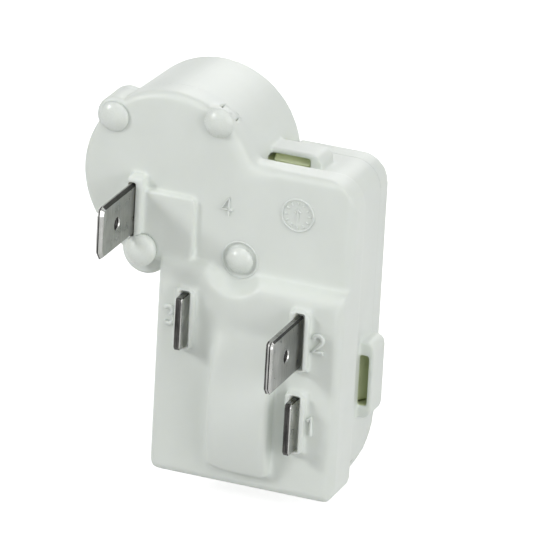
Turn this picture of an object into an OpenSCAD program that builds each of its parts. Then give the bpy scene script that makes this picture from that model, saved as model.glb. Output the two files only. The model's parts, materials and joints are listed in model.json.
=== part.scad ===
// Start relay and overload protector for a small sealed compressor, in one plug-on body.
// The mouldings are drawn from the lower left corner of the block's front face:
// x to the right, y into the body, z up. The part's own origin is the middle of the
// pin triangle, on the back face that meets the compressor.

/* [Block] */
// Width of the front cover
body_w = 22.75; // [22.5:0.05:24]
// Height of the thick lower block, right of the overload
block_h = 25.4; // [25:0.1:25.8]
// Height of the upper plate
body_h = 38.3; // [38:0.1:40]
// Depth of the whole body, from the block's face to the back
body_d = 17.4; // [17.4:0.1:20]
// How far the upper plate lies behind the block's face
step_d = 2.1; // [1.9:0.1:2.3]
// Depth of the cover's rim behind the block's face
rim_d = 5.5; // [5.4:0.1:6]
// How far the rim stands out past the housing behind it
rim_w = 1.82; // [1.6:0.02:1.9]
// Wall of the mouldings
wall = 1.45; // [1.3:0.05:1.5]
// Radius of the lower corners
foot_r = 1.8; // [1:0.1:2.5]
// Radius of the upper right corner
shoulder_r = 3.5; // [2.5:0.1:4]
// Radius of the cover's front edges
edge_r = 1.1; // [0.6:0.1:1.3]
// Radius where the block steps back to the upper plate
step_r = 1.7; // [1.2:0.1:1.8]

/* [Overload drum] */
// Height of the drum's axis
drum_z = 34.7; // [34.5:0.1:35.5]
// Radius of the drum's front rim
drum_r = 10.58; // [10.5:0.02:11]
// How much the drum narrows to the back, as its mould's draft
drum_draft = 0.5; // [0.3:0.05:0.6]

/* [Heat stakes] */
// Radius of the posts
post_r = 1.1; // [0.9:0.05:1.2]
// Radius of the melted heads
head_r = 1.7; // [1.5:0.05:1.8]
// Height of the melted heads
head_h = 0.95; // [0.7:0.05:1.1]
// Height of the collar under the head beside the overload tab
collar_h = 1.4; // [0.8:0.1:1.6]

/* [Tabs] */
// Thickness of the tab strip
tab_t = 0.8; // [0.7:0.05:0.85]
// Width of a quick-connect tab
tab_w = 6.35; // [6:0.05:6.35]
// Reach of the long tab, from the block's face
tab_long = 9.8; // [9:0.1:12]
// Reach of the short tabs, from the block's face
tab_short = 2.5; // [2.2:0.1:4]
// Reach of the overload tab, from the block's face
tab_drum = 8.6; // [8:0.1:10]
// Radius of the hole in a tab
tab_hole_r = 0.72; // [0.5:0.02:0.9]
// Height of the collars moulded round the tabs
lip_h = 1.1; // [0.8:0.1:1.4]

/* [Starting disc] */
// Diameter of the ceramic starting disc
disc_d = 16.4; // [16:0.1:16.6]
// Thickness of the ceramic starting disc
disc_t = 2.6; // [2.2:0.1:3]
// Depth of the disc's axis behind the block's face
disc_y = 6.9; // [6.8:0.1:7.2]
// Height of the disc's axis
disc_z = 10.95; // [10.8:0.1:11.6]
// Width of the bulge moulded over the disc
bulge_w = 7.6; // [7.4:0.1:8]
// Radius of the bulge, seen from the side
bulge_r = 21.3; // [20:0.1:23]
// How far the bulge stands out
bulge_d = 2.45; // [2.4:0.05:2.8]
// Height where the bulge stands out most
bulge_z = 9.35; // [9.2:0.05:9.5]
// Height of the bulge's lower edge
bulge_low = 2.3; // [2.1:0.1:2.5]

/* [Pin sockets] */
// Radius of a compressor pin
pin_r = 1.15; // [1.1:0.01:1.2]
// Side of the triangle between the pins
pin_side = 10.9; // [10.8:0.05:11]
// Height of the two lower pins
pin_z = 19.5; // [19.3:0.1:19.8]
// Wall of a socket barrel
barrel_t = 0.55; // [0.45:0.05:0.6]
// Gap round a pin where it passes the rear cover
pin_gap = 0.6; // [0.5:0.05:0.8]

/* [Latches] */
// Clear width of the loop on top
top_loop_w = 4.95; // [4.5:0.05:5.2]
// Clear width of the loop on the side
side_loop_w = 6.2; // [5.5:0.1:6.6]
// Clear height under a loop
loop_gap = 1.15; // [1.1:0.05:1.3]
// Thickness of a loop's bridge
loop_t = 0.6; // [0.5:0.05:0.7]
// Play round a latch tongue
tongue_gap = 0.15; // [0.1:0.05:0.2]

/* [Overload] */
// Radius of the snap disc
snap_r = 6; // [5.8:0.1:6.1]
// Radius of the contact buttons
button_r = 1.4; // [1.2:0.1:1.5]
// Height of a contact button
button_h = 0.6; // [0.5:0.05:0.65]
// Distance of a contact from the snap disc's centre
button_x = 4.3; // [4.2:0.05:4.4]
// Thickness of the heater ribbon
ribbon_t = 0.35; // [0.3:0.05:0.5]

/* [Hidden] */

$fn = 48;
eps = 0.01;
fit = 0.05;

// Colours of the finished pieces
WHITE = [0.84, 0.87, 0.84];
TIN = [0.66, 0.67, 0.67];
BRASS = [0.80, 0.69, 0.42];
STEEL = [0.60, 0.62, 0.64];
SILVER = [0.86, 0.86, 0.84];

// Cover, housing and rear cover, from front to back
plate_in = step_d + wall + 0.15;
block_in = wall + 0.15;
seam_y = body_d - 2.4;
floor_y = body_d - wall;
house_l = rim_w;
house_r = body_w - rim_w;
house_b = 0.1;
house_t = body_h - 1.6;
in_l = house_l + wall - 0.05;
in_r = house_r - wall + 0.05;
in_b = house_b + wall;
in_t = house_t - wall;
shoulder_in = shoulder_r - 0.2;
left_h = block_h + 0.6;
left_w = body_w * 0.2725;
drum_x = 0;
tube_r = drum_r - drum_draft;
rim_back_r = drum_r - drum_draft * (rim_d - step_d) / (body_d - step_d);
bore_r = tube_r - wall;
cup_r = bore_r - 0.25;

// Loops and tongues of the latches
top_loop_x = drum_x + drum_r - 1;
top_loop_y = 8.6;
side_loop_y = 11.2;
side_loop_z = 8.1;
loop_d = 3.6;
tongue_t = 0.55;
barb_h = 0.5;
barb_d = 1.3;

// Stake heads: angle about the drum's axis, distance past the drum's rim, height of collar
STAKES = [[136.7, -1.1, 0], [54.6, -0.4, 0.2], [-40.3, 1.48, 0], [253.4, -1.82, collar_h]];
boss_r = post_r + 0.85;
lobe_r = head_r + 0.6;
recess_r = head_r + 0.35;

function stake_x(s) = drum_x + (drum_r + s[1]) * cos(s[0]);
function stake_z(s) = drum_z + (drum_r + s[1]) * sin(s[0]);

// Terminals: the plates lie along the side walls, the tabs run forward from them
start_x = in_l + 0.2;
run_x = in_r - tab_t - 1.3;
tab_z = pin_z - tab_w / 2;
tab_low_z = 6.3;
drum_tab_x = drum_x - drum_r * 0.397;
drum_tab_z = drum_z - drum_r * 0.6475;
chamfer = 1;
lip_gap = 0.75;
lip_t = 0.75;

// Pin triangle, point up, between the two terminal plates
pin_mid_x = (start_x + run_x + tab_t) / 2;
start_pin = [pin_mid_x - pin_side / 2, pin_z];
run_pin = [pin_mid_x + pin_side / 2, pin_z];
common_pin = [pin_mid_x, pin_z + pin_side * sin(60)];
pin_mid_z = pin_z + pin_side * tan(30) / 2;
barrel_r = pin_r + barrel_t;
barrel_y = 7;
barrel_end = floor_y - 0.3;
socket_y = barrel_y + 1.6;
clip_t = 0.35;
clip_y = 11.2;
clip_d = 2.5;

// Starting disc and its springs, centred in the bulge
disc_r = disc_d / 2;
disc_x = pin_mid_x + 0.45;
bulge_wall = 0.8;
spring_t = 0.3;
spring_w = 7;
spring_z = disc_z - 1;
rivet_r = 0.8;

// Overload, from front to back inside the drum
foot_y = plate_in + fit;
foot_t = tab_t;
fixed_y = foot_y + foot_t;
move_y = fixed_y + button_h;
snap_y = move_y + button_h;
snap_t = 0.25;
snap_rise = 0.5;
dish_r = snap_r / 2;
screw_r = 0.9;
screw_head_r = screw_r + 1;
web_y = 10;
web_t = 1.6;
link_y = web_y + web_t + 0.4;
link_t = 0.8;
link_w = 2 * barrel_r - 0.8;
ribbon_y = 8.3;
ribbon_w = 1.2;
ribbon_x = 4.2;
ribbon_z = drum_z + 1.1;
ribbon_pitch = 2.5;
ribbon_rows = 3;
exit_z = ribbon_z - (ribbon_rows - 1) * ribbon_pitch;
arm_x = snap_r + 0.35;

module part_frame() {
  translate([-pin_mid_x, -body_d, -pin_mid_z]) children();
}

// A profile drawn in x and z, from depth y0 to depth y1
module along_y(y0, y1) {
  translate([0, y1, 0]) rotate([90, 0, 0]) linear_extrude(y1 - y0) children();
}

// A profile drawn in y and z, from x0 to x1
module along_x(x0, x1) {
  translate([x0, 0, 0]) rotate([90, 0, 90]) linear_extrude(x1 - x0) children();
}

module pin_y(at, r, y0, y1) {
  translate([at[0], y0, at[1]]) rotate([-90, 0, 0]) cylinder(r = r, h = y1 - y0);
}

function turned(x, z, r, a) = [x + r * cos(a), z + r * sin(a)];

function arc(x, z, r, a0, a1, n = 8) =
  r <= 0 ? [[x, z]] : [for (i = [0:n]) turned(x, z, r, a0 + (a1 - a0) * i / n)];

// Rectangle whose corners have their own radii: lower left, lower right, upper right, upper left
module plate_2d(x0, z0, x1, z1, r) {
  polygon(concat(
    arc(x0 + r[0], z0 + r[0], r[0], 180, 270),
    arc(x1 - r[1], z0 + r[1], r[1], 270, 360),
    arc(x1 - r[2], z1 - r[2], r[2], 0, 90),
    arc(x0 + r[3], z1 - r[3], r[3], 90, 180)));
}

// A slab seen from the front, with its four front edges rounded over
module slab(x0, z0, x1, z1, y0, y1, corners, side_r, low_r, top_r) {
  intersection() {
    along_y(y0, y1) plate_2d(x0, z0, x1, z1, corners);
    along_x(x0 - 1, x1 + 1) plate_2d(y0, z0, y1, z1, [low_r, 0, 0, top_r]);
    translate([0, 0, z0 - 1]) linear_extrude(z1 - z0 + 2)
      plate_2d(x0, y0, x1, y1, [side_r, side_r, 0, 0]);
  }
}

// A round body along y with draft, whose front edge is rounded over
module drum(r0, r1, y0, y1, round_r) {
  translate([drum_x, y0, drum_z]) rotate([-90, 0, 0]) rotate_extrude($fn = 96)
    polygon(concat([[0, y1 - y0], [0, 0]],
      arc(r0 - round_r, round_r, round_r, -90, 0, 6), [[r1, y1 - y0]]));
}

// The bulge that clears the rim of the starting disc: an arc from the side, square below,
// as far back as y1; deep is how far it lies under the cover's surface
module bulge(deep, left_r, right_r, low_z, y1) {
  r = bulge_r - deep;
  w = bulge_w - 2 * deep;
  intersection() {
    translate([disc_x - w / 2, bulge_r - bulge_d, bulge_z]) rotate([0, 90, 0]) rotate_extrude($fn = 120)
      polygon(concat([[0, w], [0, 0]],
        arc(r - left_r, left_r, left_r, -90, 0, 8),
        arc(r - right_r, w - right_r, right_r, 0, 90, 6)));
    translate([disc_x - w, -disc_r, low_z]) cube([2 * w, y1 + disc_r, block_h - 4 - low_z]);
  }
}

// Raised rim with rounded corners round a tab that leaves the cover at x, z
module lip(x, z, y0, h) {
  x0 = x - lip_gap;
  x1 = x + tab_t + lip_t;
  top = z + tab_w + 0.65;
  slab(x0, z - 0.5, x1, top, y0 - h, y0 + 1, [0.5, 0.9, 0.9, 0.5], 0.35, 0.35, 0.35);
}

module tab_slot(x, z, y0) {
  translate([x - fit, y0 - 3, z - fit]) cube([tab_t + 2 * fit, 12, tab_w + 2 * fit]);
}

module front_cover() {
  part_frame() color(WHITE) difference() {
    union() {
      slab(0, 0, body_w, block_h, 0, rim_d, [foot_r, foot_r, 0, 0], edge_r, edge_r, step_r);
      slab(0, 1, left_w, left_h, 0, rim_d, [0, 0, 0.6, 0], edge_r, edge_r, step_r);
      upper_plate();
      drum(drum_r, rim_back_r, step_d, rim_d, edge_r - 0.2);
      bulge(0, 0.6, 0.8, bulge_low, block_in);
      cover_bosses();
      overload_pad();
      lip(start_x, tab_z, 0, lip_h);
      lip(run_x, tab_z, 0, lip_h);
      lip(run_x, tab_low_z, 0, lip_h);
    }
    cover_cavity();
    stake_scallop();
    for (s = STAKES) {
      pin_y([stake_x(s), stake_z(s)], post_r + fit, -2, rim_d + 1);
      pin_y([stake_x(s), stake_z(s)], head_r + fit, -2, step_d);
    }
    stake_recess(STAKES[2]);
    tab_slot(start_x, tab_z, 0);
    tab_slot(run_x, tab_z, 0);
    tab_slot(run_x, tab_low_z, 0);
    tab_slot(drum_tab_x, drum_tab_z, 0);
  }
}

// Plate between block and drum, a little lower at the drum's foot
module upper_plate() {
  foot_x = drum_x + drum_r - 0.1;
  slab(drum_x, block_h - 3, foot_x + 3, body_h - 0.9, step_d, rim_d, [0, 0, 0, 0],
    edge_r, 0, edge_r - 0.2);
  slab(foot_x, block_h - 3, body_w, body_h, step_d, rim_d, [0, 0, shoulder_r, 1],
    edge_r, 0, edge_r - 0.2);
}

// Lobes on the drum's rim round the stakes; the second one fades into the drum's side
module cover_bosses() {
  under_r = lobe_r + 0.55;
  lobe(stake_x(STAKES[0]), stake_z(STAKES[0]), lobe_r, lobe_r, step_d + eps);
  lobe(stake_x(STAKES[1]), stake_z(STAKES[1]), head_r + 0.25, post_r + 0.35, step_d - STAKES[1][2]);
  lobe(stake_x(STAKES[3]), stake_z(STAKES[3]) - 0.6, under_r, under_r, step_d + eps);
}

// A round boss of the rim from radius r0 in front to r1, its front edge rounded over
module lobe(x, z, r0, r1, y0) {
  depth = rim_d - y0;
  round_r = 0.5;
  translate([x, y0, z]) rotate([-90, 0, 0]) rotate_extrude()
    polygon(concat([[0, depth], [0, 0]], arc(r0 - round_r, round_r, round_r, -90, 0, 6), [[r1, depth]]));
}

// Pad beside the overload tab, the rim at its right and the ramp over its top
module overload_pad() {
  right = drum_tab_x + 7.85;
  top = drum_tab_z + tab_w;
  slab(drum_tab_x + tab_t + 0.6, block_h - 0.2, right, top - 0.8, step_d - 0.75, step_d + 1,
    [0, 0, 0.8, 0.3], 0.3, 0.3, 0.3);
  slab(drum_tab_x - 0.2, drum_tab_z - 0.6, drum_tab_x + tab_t + 0.85, top + 0.9,
    step_d - 1.5, step_d + 1, [0.4, 0.4, 0.4, 0.4], 0.3, 0.3, 0.9);
}

module cover_cavity() {
  along_y(block_in, rim_d + 1) plate_2d(in_l, in_b, in_r, block_h - wall - 1, [1, 1, 1, 1]);
  difference() {
    union() {
      along_y(plate_in, rim_d + 1)
        plate_2d(in_l + 4, block_h - 4, in_r, in_t, [0, 0, shoulder_in - wall, 0]);
      pin_y([drum_x, drum_z], bore_r, plate_in, rim_d + 1);
    }
    difference() {
      for (s = STAKES) pin_y([stake_x(s), stake_z(s)], boss_r, 0, rim_d + 2);
      pin_y([drum_x, drum_z], bore_r, 0, rim_d + 3);
    }
  }
  bulge(bulge_wall, 0.5, 0.4, bulge_low + bulge_wall + 0.3, rim_d + 1);
}

// The block's top edge gives way round the stake between block and drum
module stake_scallop() {
  x = stake_x(STAKES[2]);
  z = stake_z(STAKES[2]);
  translate([x, -eps, z]) rotate([-90, 0, 0])
    cylinder(r1 = head_r + 2.2, r2 = head_r + 0.8, h = step_d + eps);
}

module stake_recess(s) {
  difference() {
    pin_y([stake_x(s), stake_z(s)], recess_r, step_d - 1, step_d + 0.2);
    pin_y([stake_x(s), stake_z(s)], head_r - 0.1, step_d - 2, step_d + 1);
  }
}

module housing() {
  part_frame() color(WHITE) difference() {
    union() {
      along_y(rim_d, seam_y) difference() {
        plate_2d(house_l, house_b, house_r, house_t, [1.5, 2, shoulder_in, 1]);
        plate_2d(in_l, in_b, in_r, in_t, [1, 1, shoulder_in - wall, 1]);
      }
      drum(rim_back_r, tube_r, rim_d, body_d, 0);
      common_seat();
      house_bosses();
      top_loop();
      side_loop();
    }
    pin_y([drum_x, drum_z], bore_r, rim_d - 1, floor_y);
    link_shape(fit * 3);
    pin_y(common_pin, barrel_r + fit, rim_d, body_d);
    top_loop_way();
    tongue_ways();
  }
  part_frame() color(WHITE) for (s = STAKES) stake(s);
}

// A post of the housing, through the cover, with its melted head
module stake(s) {
  front = step_d - s[2];
  ball = (head_r * head_r + head_h * head_h) / (2 * head_h);
  spread = asin(head_r / ball);
  dome = arc(0, front + ball - head_h, ball, spread - 90, -86, 10);
  tip = [[0, front - head_h + ball * (1 - sin(86))]];
  rest = [[0, rim_d + eps], [post_r, rim_d + eps], [post_r, step_d]];
  collar = s[2] > 0 ? [[head_r, step_d]] : [];
  translate([stake_x(s), 0, stake_z(s)]) rotate([-90, 0, 0]) rotate_extrude()
    polygon(concat(rest, collar, dome, tip));
}

// Lobe behind the upper left stake, and the boss of the stake that stands beside the drum
module house_bosses() {
  lobe = STAKES[0];
  side = STAKES[2];
  pin_y([stake_x(lobe), stake_z(lobe)], lobe_r, rim_d, rim_d + 1.5);
  pin_y([stake_x(side), stake_z(side)], boss_r, rim_d, rim_d + 1.5);
  translate([drum_x, rim_d, drum_z]) rotate([0, -side[0], 0]) translate([bore_r, 0, -post_r])
    cube([drum_r + side[1] - bore_r, 1.5, 2 * post_r]);
}

// Seat of the common socket, with its web from the drum
module common_seat() {
  away = [common_pin[0] - drum_x, common_pin[1] - drum_z];
  seat_d = link_y - 0.3 - socket_y;
  pin_y(common_pin, barrel_r + 0.95, socket_y, socket_y + seat_d);
  translate([drum_x, socket_y, drum_z]) rotate([0, -atan2(away[1], away[0]), 0])
    translate([bore_r, 0, -barrel_r]) cube([norm(away) - bore_r, seat_d, 2 * barrel_r]);
}

// Bridge over the top wall; its left foot is the drum itself
module top_loop() {
  along_y(top_loop_y, top_loop_y + loop_d)
    plate_2d(top_loop_x - 1.6, house_t - 1, top_loop_x + top_loop_w + 1.5, house_t + loop_gap + loop_t,
      [0, 0, 1.2, 0]);
}

module top_loop_way() {
  along_y(top_loop_y - eps, top_loop_y + loop_d + eps)
    plate_2d(top_loop_x - 0.3, house_t, top_loop_x + top_loop_w, house_t + loop_gap, [0, 0, 0, 0]);
}

// Bridge over the right wall
module side_loop() {
  along_y(side_loop_y, side_loop_y + loop_d) difference() {
    plate_2d(house_r - 1, side_loop_z - 1.5, house_r + loop_gap + loop_t, side_loop_z + side_loop_w + 1.7,
      [0, 1.1, 1, 0]);
    plate_2d(house_r, side_loop_z, house_r + loop_gap, side_loop_z + side_loop_w, [0, 0, 0, 0]);
  }
}

module rear_cover() {
  part_frame() color(WHITE) difference() {
    union() {
      along_y(seam_y, body_d) rear_outline();
      latch_tongues();
    }
    along_y(seam_y - 1, floor_y) plate_2d(in_l, in_b, in_r, in_t, [1, 1, shoulder_in - wall, 1]);
    pin_y([drum_x, drum_z], tube_r + drum_draft / 4 + fit, seam_y - 1, body_d + 1);
    for (p = [start_pin, run_pin, common_pin]) pin_y(p, pin_r + pin_gap, seam_y, body_d + 1);
  }
}

// Back of the relay: square shoulders above, wide arcs below the block
module rear_outline() {
  sweep_r = 14;
  sweep_z = 5.6;
  foot_z = -3;
  a = asin((sweep_z - foot_z) / sweep_r);
  right = arc(house_r - sweep_r, sweep_z, sweep_r, -a, 0, 10);
  left = [for (i = [len(right) - 1:-1:0]) [house_l + house_r - right[i][0], right[i][1]]];
  polygon(concat(right, arc(house_r - shoulder_in, house_t - shoulder_in, shoulder_in, 0, 90),
    [[house_l, house_t]], left));
}

// Tongues of the rear cover: each lies in a groove of the wall and catches under a loop
module latch_tongues() {
  tongue_shapes(tongue_gap);
}

module tongue_ways() {
  tongue_shapes(0);
}

module tongue_shapes(gap) {
  sunk = tongue_t + 2 * tongue_gap;
  x0 = top_loop_x + 0.5;
  width = top_loop_x + top_loop_w - x0;
  front = top_loop_y + 0.6;
  translate([x0 + gap, front + gap, house_t - sunk + gap])
    cube([width - 2 * gap, seam_y - front, sunk - 2 * gap]);
  translate([x0 + gap, front + barb_d, house_t - sunk + gap])
    cube([width - 2 * gap, barb_d, sunk + barb_h]);
  side_front = side_loop_y + 0.6;
  translate([house_r - sunk + gap, side_front + gap, side_loop_z + gap])
    cube([sunk - 2 * gap, seam_y - side_front, side_loop_w - 2 * gap]);
  translate([house_r - sunk + gap, side_front + barb_d, side_loop_z + gap])
    cube([sunk + barb_h, barb_d, side_loop_w - 2 * gap]);
}

// Outline of a tab in y and z, with its tip to the front and a hole on its middle line
module tab_2d(reach, back, z, hole_at) {
  difference() {
    polygon([[-reach + chamfer, z], [back, z], [back, z + tab_w], [-reach + chamfer, z + tab_w],
      [-reach, z + tab_w - chamfer * 1.3], [-reach, z + chamfer * 1.3]]);
    if (hole_at > 0) translate([-reach + hole_at, z + tab_w / 2]) circle(r = tab_hole_r);
  }
}

// Spring collar that grips a barrel
module clip(at, open_a, y0 = clip_y) {
  difference() {
    pin_y(at, barrel_r + fit + clip_t, y0, y0 + clip_d);
    pin_y(at, barrel_r + fit, y0 - 1, y0 + clip_d + 1);
    translate([at[0], y0 - 1, at[1]]) rotate([0, open_a, 0]) translate([pin_r - 0.2, 0, -barrel_r - 1])
      cube([barrel_r + 2, clip_d + 2, 2 * barrel_r + 2]);
  }
}

module start_terminal() {
  part_frame() color(TIN) {
    difference() {
      union() {
        along_x(start_x, start_x + tab_t) union() {
          tab_2d(tab_short, rim_d + 1, tab_z, 0);
          plate_2d(rim_d, spring_z - 2, barrel_end - 1, tab_z + tab_w, [1, 1, 1, 0]);
        }
        pin_y(start_pin, barrel_r, barrel_y, barrel_end);
      }
      pin_y(start_pin, pin_r, barrel_y - 1, barrel_end + 1);
      translate([start_x - 1, disc_y + 1, spring_z]) rotate([0, 90, 0]) cylinder(r = rivet_r, h = 4);
    }
  }
}

module run_terminal() {
  part_frame() color(TIN) {
    difference() {
      union() {
        along_x(run_x, run_x + tab_t) union() {
          tab_2d(tab_long, rim_d + 1, tab_z, tab_long * 0.47);
          tab_2d(tab_short + 0.3, rim_d + 1, tab_low_z, 0);
          plate_2d(rim_d, tab_low_z, barrel_end - 1, tab_z + tab_w, [0, 1, 1, 0]);
        }
        pin_y(run_pin, barrel_r, barrel_y, barrel_end);
      }
      pin_y(run_pin, pin_r, barrel_y - 1, barrel_end + 1);
      translate([run_x - 2, disc_y + 1, spring_z]) rotate([0, 90, 0]) cylinder(r = rivet_r, h = 4);
    }
  }
}

module start_clip() {
  part_frame() color(STEEL) clip(start_pin, 180);
}

module run_clip() {
  part_frame() color(STEEL) clip(run_pin, 0);
}

// Rolled socket barrel with a slit at its front
module common_socket() {
  part_frame() color(TIN) difference() {
    pin_y(common_pin, barrel_r, socket_y, barrel_end);
    pin_y(common_pin, pin_r, socket_y - 1, barrel_end + 1);
    translate([common_pin[0], socket_y - 1, common_pin[1] - 0.15]) cube([barrel_r + 1, 3.6, 0.3]);
  }
}

module common_clip() {
  part_frame() color(STEEL) clip(common_pin, -152, link_y + link_t + 0.3);
}

module ptc_disc() {
  part_frame() color([0.45, 0.43, 0.42])
    translate([disc_x - disc_t / 2, disc_y, disc_z]) rotate([0, 90, 0]) rotate_extrude($fn = 96)
      polygon([[0, 0], [disc_r - 0.3, 0], [disc_r, 0.3], [disc_r, disc_t - 0.3], [disc_r - 0.3, disc_t],
        [0, disc_t]]);
}

module start_spring() {
  part_frame() color(STEEL) spring_strip(start_x + tab_t, disc_x - disc_t / 2, 1);
}

module run_spring() {
  part_frame() color(STEEL) spring_strip(run_x, disc_x + disc_t / 2, -1);
}

// Leaf bent like a Z: flat on its plate, slanting over, flat on the disc
module spring_strip(x0, x1, m) {
  t = spring_t;
  g = abs(x1 - x0);
  translate([x0, disc_y + 1, spring_z - spring_w / 2]) mirror([m < 0 ? 1 : 0, 0, 0])
    linear_extrude(spring_w)
    polygon([[0, 2.2], [0, -3.6], [t + 0.15, -3.6], [g, 0], [g, 3.2], [g - t, 3.2], [g - t, 0.2],
      [t, -2.9], [t, 2.2]]);
}

module start_rivet() {
  part_frame() color(BRASS) rivet(start_x, start_x + tab_t);
}

module run_rivet() {
  part_frame() color(BRASS) rivet(run_x, run_x + tab_t);
}

module rivet(x0, x1) {
  translate([x0, disc_y + 1, spring_z]) rotate([0, 90, 0]) cylinder(r = rivet_r, h = x1 - x0);
}

module overload_base() {
  part_frame() color([0.30, 0.22, 0.18]) difference() {
    pin_y([drum_x, drum_z], cup_r, fixed_y + fit, floor_y);
    pin_y([drum_x, drum_z], cup_r - 1, fixed_y - 1, web_y);
    pin_y([drum_x, drum_z], cup_r - 1, web_y + web_t, floor_y + 1);
    pin_y([drum_x, drum_z], screw_r, web_y - 1, web_y + web_t + 1);
    translate([drum_x - ribbon_x - 0.3, web_y - 1, exit_z - 0.3])
      cube([ribbon_t + 0.6, web_t + 2, ribbon_t + 0.6]);
    link_shape(fit * 3);
    for (s = STAKES) pin_y([stake_x(s), stake_z(s)], post_r + fit, fixed_y - 1, rim_d + fit);
  }
}

module overload_terminal() {
  part_frame() color(TIN) union() {
    along_x(drum_tab_x, drum_tab_x + tab_t) tab_2d(tab_drum, fixed_y, drum_tab_z, tab_drum * 0.49);
    along_y(foot_y, fixed_y)
      plate_2d(drum_x - button_x - 1.9, drum_tab_z + 0.4, drum_tab_x + tab_t, drum_z + 2, [1, 0, 0.6, 1]);
  }
}

module contact_arm() {
  leg_x = drum_x + arm_x;
  leg_t = 0.5;
  part_frame() color(TIN) union() {
    along_y(foot_y, fixed_y)
      plate_2d(drum_x + button_x - 1.9, drum_z - 2, leg_x + leg_t, drum_z + 2, [1, 0.3, 0.3, 1]);
    translate([leg_x, foot_y, drum_z - 1.5]) cube([leg_t, ribbon_y + ribbon_w - foot_y, 3]);
  }
}

module button(x, y0) {
  pin_y([x, drum_z], button_r, y0, y0 + button_h);
}

module line_contact() {
  part_frame() color(SILVER) button(drum_x - button_x, fixed_y);
}

module heater_contact() {
  part_frame() color(SILVER) button(drum_x + button_x, fixed_y);
}

module line_button() {
  part_frame() color(SILVER) button(drum_x - button_x, move_y);
}

module heater_button() {
  part_frame() color(SILVER) button(drum_x + button_x, move_y);
}

// Dished disc of two metals; its rim lies on the moving contacts
module snap_disc() {
  part_frame() color([0.72, 0.66, 0.58])
    translate([drum_x, snap_y, drum_z]) rotate([-90, 0, 0]) rotate_extrude($fn = 96)
      polygon([[screw_r + fit, snap_rise], [dish_r - 0.6, snap_rise], [dish_r, 0], [snap_r, 0],
        [snap_r, snap_t], [dish_r + 0.1, snap_t], [dish_r - 0.5, snap_rise + snap_t],
        [screw_r + fit, snap_rise + snap_t]]);
}

module calibration_screw() {
  part_frame() color(STEEL) difference() {
    union() {
      pin_y([drum_x, drum_z], screw_head_r, snap_y - 0.5, snap_y + snap_rise);
      pin_y([drum_x, drum_z], screw_r, snap_y, web_y + web_t + 1.6);
    }
    translate([drum_x - screw_head_r - 1, snap_y - 0.8, drum_z - 0.25])
      cube([2 * screw_head_r + 2, 0.6, 0.5]);
  }
}

// Ribbon folded to and fro behind the snap disc, from the contact arm to the common link
module heater() {
  left = -ribbon_x;
  right = ribbon_x - ribbon_t;
  part_frame() color([0.52, 0.50, 0.48]) union() {
    for (i = [0:ribbon_rows - 1])
      translate([drum_x - ribbon_x, ribbon_y, ribbon_z - i * ribbon_pitch])
        cube([2 * ribbon_x, ribbon_w, ribbon_t]);
    for (i = [0:ribbon_rows - 2])
      translate([drum_x + (i % 2 == 0 ? left : right), ribbon_y, ribbon_z - (i + 1) * ribbon_pitch])
        cube([ribbon_t, ribbon_w, ribbon_pitch + ribbon_t]);
    translate([drum_x + ribbon_x - ribbon_t, ribbon_y, ribbon_z])
      cube([arm_x - ribbon_x + ribbon_t, ribbon_w, ribbon_t]);
    translate([drum_x - ribbon_x, ribbon_y, exit_z]) cube([ribbon_t, link_y - ribbon_y, ribbon_t]);
  }
}

// The link's strip across the back of the base, and its eye round the common socket
module link_shape(grow) {
  left = drum_x - ribbon_x - 0.4 - grow;
  pin_y(common_pin, barrel_r + 0.9 + grow, link_y - grow, link_y + link_t + grow);
  translate([left, link_y - grow, common_pin[1] + 0.6 - grow])
    cube([common_pin[0] - left, link_t + 2 * grow, link_w + 2 * grow]);
}

module common_link() {
  part_frame() color(TIN) difference() {
    link_shape(0);
    pin_y(common_pin, barrel_r + 0.02, link_y - 1, link_y + link_t + 1);
  }
}

front_cover();
housing();
rear_cover();
start_terminal();
run_terminal();
start_clip();
run_clip();
ptc_disc();
start_spring();
run_spring();
start_rivet();
run_rivet();
overload_base();
overload_terminal();
contact_arm();
line_contact();
heater_contact();
snap_disc();
line_button();
heater_button();
calibration_screw();
heater();
common_link();
common_socket();
common_clip();
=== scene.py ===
# %% [markdown]
# A start relay for a small sealed compressor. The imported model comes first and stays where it
# is: the looks are built round it, in the same metres and the same axes.

# %% Load the frame
import json
import math

import bmesh
import bpy
from mathutils import Matrix, Vector


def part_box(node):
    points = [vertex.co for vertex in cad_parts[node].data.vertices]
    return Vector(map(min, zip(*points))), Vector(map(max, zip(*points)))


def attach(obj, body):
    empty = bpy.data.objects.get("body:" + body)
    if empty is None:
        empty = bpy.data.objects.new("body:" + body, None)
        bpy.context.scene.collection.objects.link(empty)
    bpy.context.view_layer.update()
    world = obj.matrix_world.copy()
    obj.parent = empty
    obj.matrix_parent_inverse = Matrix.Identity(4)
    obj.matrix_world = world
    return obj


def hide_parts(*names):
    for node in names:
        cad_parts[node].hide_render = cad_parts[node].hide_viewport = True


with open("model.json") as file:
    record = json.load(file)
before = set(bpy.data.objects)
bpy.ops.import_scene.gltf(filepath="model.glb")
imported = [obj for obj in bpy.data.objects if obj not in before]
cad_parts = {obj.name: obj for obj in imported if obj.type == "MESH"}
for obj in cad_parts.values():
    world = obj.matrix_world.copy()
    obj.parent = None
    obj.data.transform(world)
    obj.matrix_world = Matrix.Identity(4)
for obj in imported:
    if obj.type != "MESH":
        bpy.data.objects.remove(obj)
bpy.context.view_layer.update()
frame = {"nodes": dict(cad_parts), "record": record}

NODES = frame["nodes"]
SCENE = bpy.context.scene

# %% [markdown]
# The mouldings are easiest to think of in millimetres from the lower left corner of the block's
# front face: x to the right, y into the body, z up. The corner's place is measured from the
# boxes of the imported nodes, so nothing has to be fitted by eye.

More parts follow.
